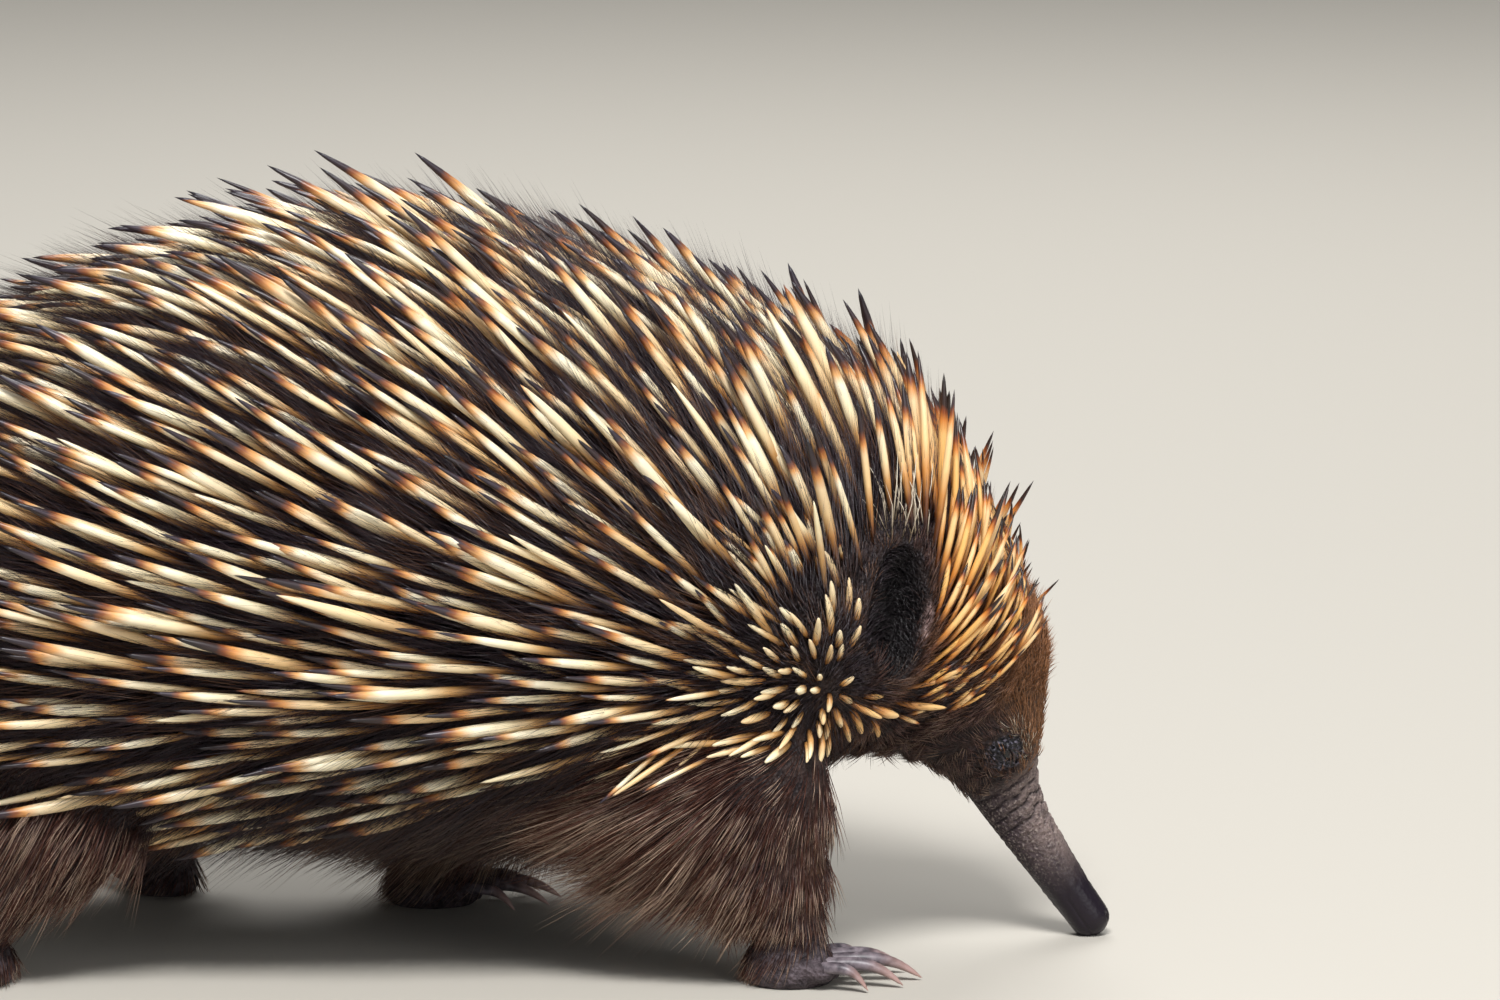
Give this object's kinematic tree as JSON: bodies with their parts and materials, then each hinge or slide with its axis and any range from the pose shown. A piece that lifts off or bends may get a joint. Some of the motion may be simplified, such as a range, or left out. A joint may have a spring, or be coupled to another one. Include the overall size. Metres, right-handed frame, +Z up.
{
  "type": "echidna",
  "caption": "Life-size short-beaked echidna at a walk, spiny domed back, bristly legs, long beak bowed to touch the ground, for display standing on a flat floor.",
  "frame": {"origin": "middle of the animal's box on the floor it stands on", "axes": "+X the way the animal walks, towards the beak; +Y the animal's left side; +Z up"},
  "size_m": [0.4268, 0.2228, 0.2283],
  "materials": {
    "spiny_coat": "horny spines, ivory with tan and black tips, over dark brown fur",
    "bristly_coat": "long coarse brown hair",
    "face_coat": "short reddish-brown fur",
    "beak_skin": "bare wrinkled grey skin, satin",
    "foot_skin": "bare wrinkled grey skin",
    "claw_horn": "grey horn, satin",
    "eye_gloss": "wet dark eye",
    "ear_skin": "bare skin rim, dark inside"
  },
  "bodies": {
    "root": {"beak": "beak_skin", "claw_fore_left_1": "claw_horn", "claw_fore_left_2": "claw_horn", "claw_fore_left_3": "claw_horn", "claw_fore_left_4": "claw_horn", "claw_fore_left_5": "claw_horn", "claw_fore_right_1": "claw_horn", "claw_fore_right_2": "claw_horn", "claw_fore_right_3": "claw_horn", "claw_fore_right_4": "claw_horn", "claw_fore_right_5": "claw_horn", "claw_hind_left_1": "claw_horn", "claw_hind_left_2": "claw_horn", "claw_hind_left_3": "claw_horn", "claw_hind_left_4": "claw_horn", "claw_hind_left_5": "claw_horn", "claw_hind_right_1": "claw_horn", "claw_hind_right_2": "claw_horn", "claw_hind_right_3": "claw_horn", "claw_hind_right_4": "claw_horn", "claw_hind_right_5": "claw_horn", "ear_left": "ear_skin", "ear_right": "ear_skin", "eye_left": "eye_gloss", "eye_right": "eye_gloss", "foot_fore_left": "foot_skin", "foot_fore_right": "foot_skin", "foot_hind_left": "foot_skin", "foot_hind_right": "foot_skin", "head": "face_coat", "leg_fore_left": "bristly_coat", "leg_fore_right": "bristly_coat", "leg_hind_left": "bristly_coat", "leg_hind_right": "bristly_coat", "neck": "spiny_coat", "tail": "bristly_coat", "torso": "spiny_coat"}
  },
  "joints": []
}
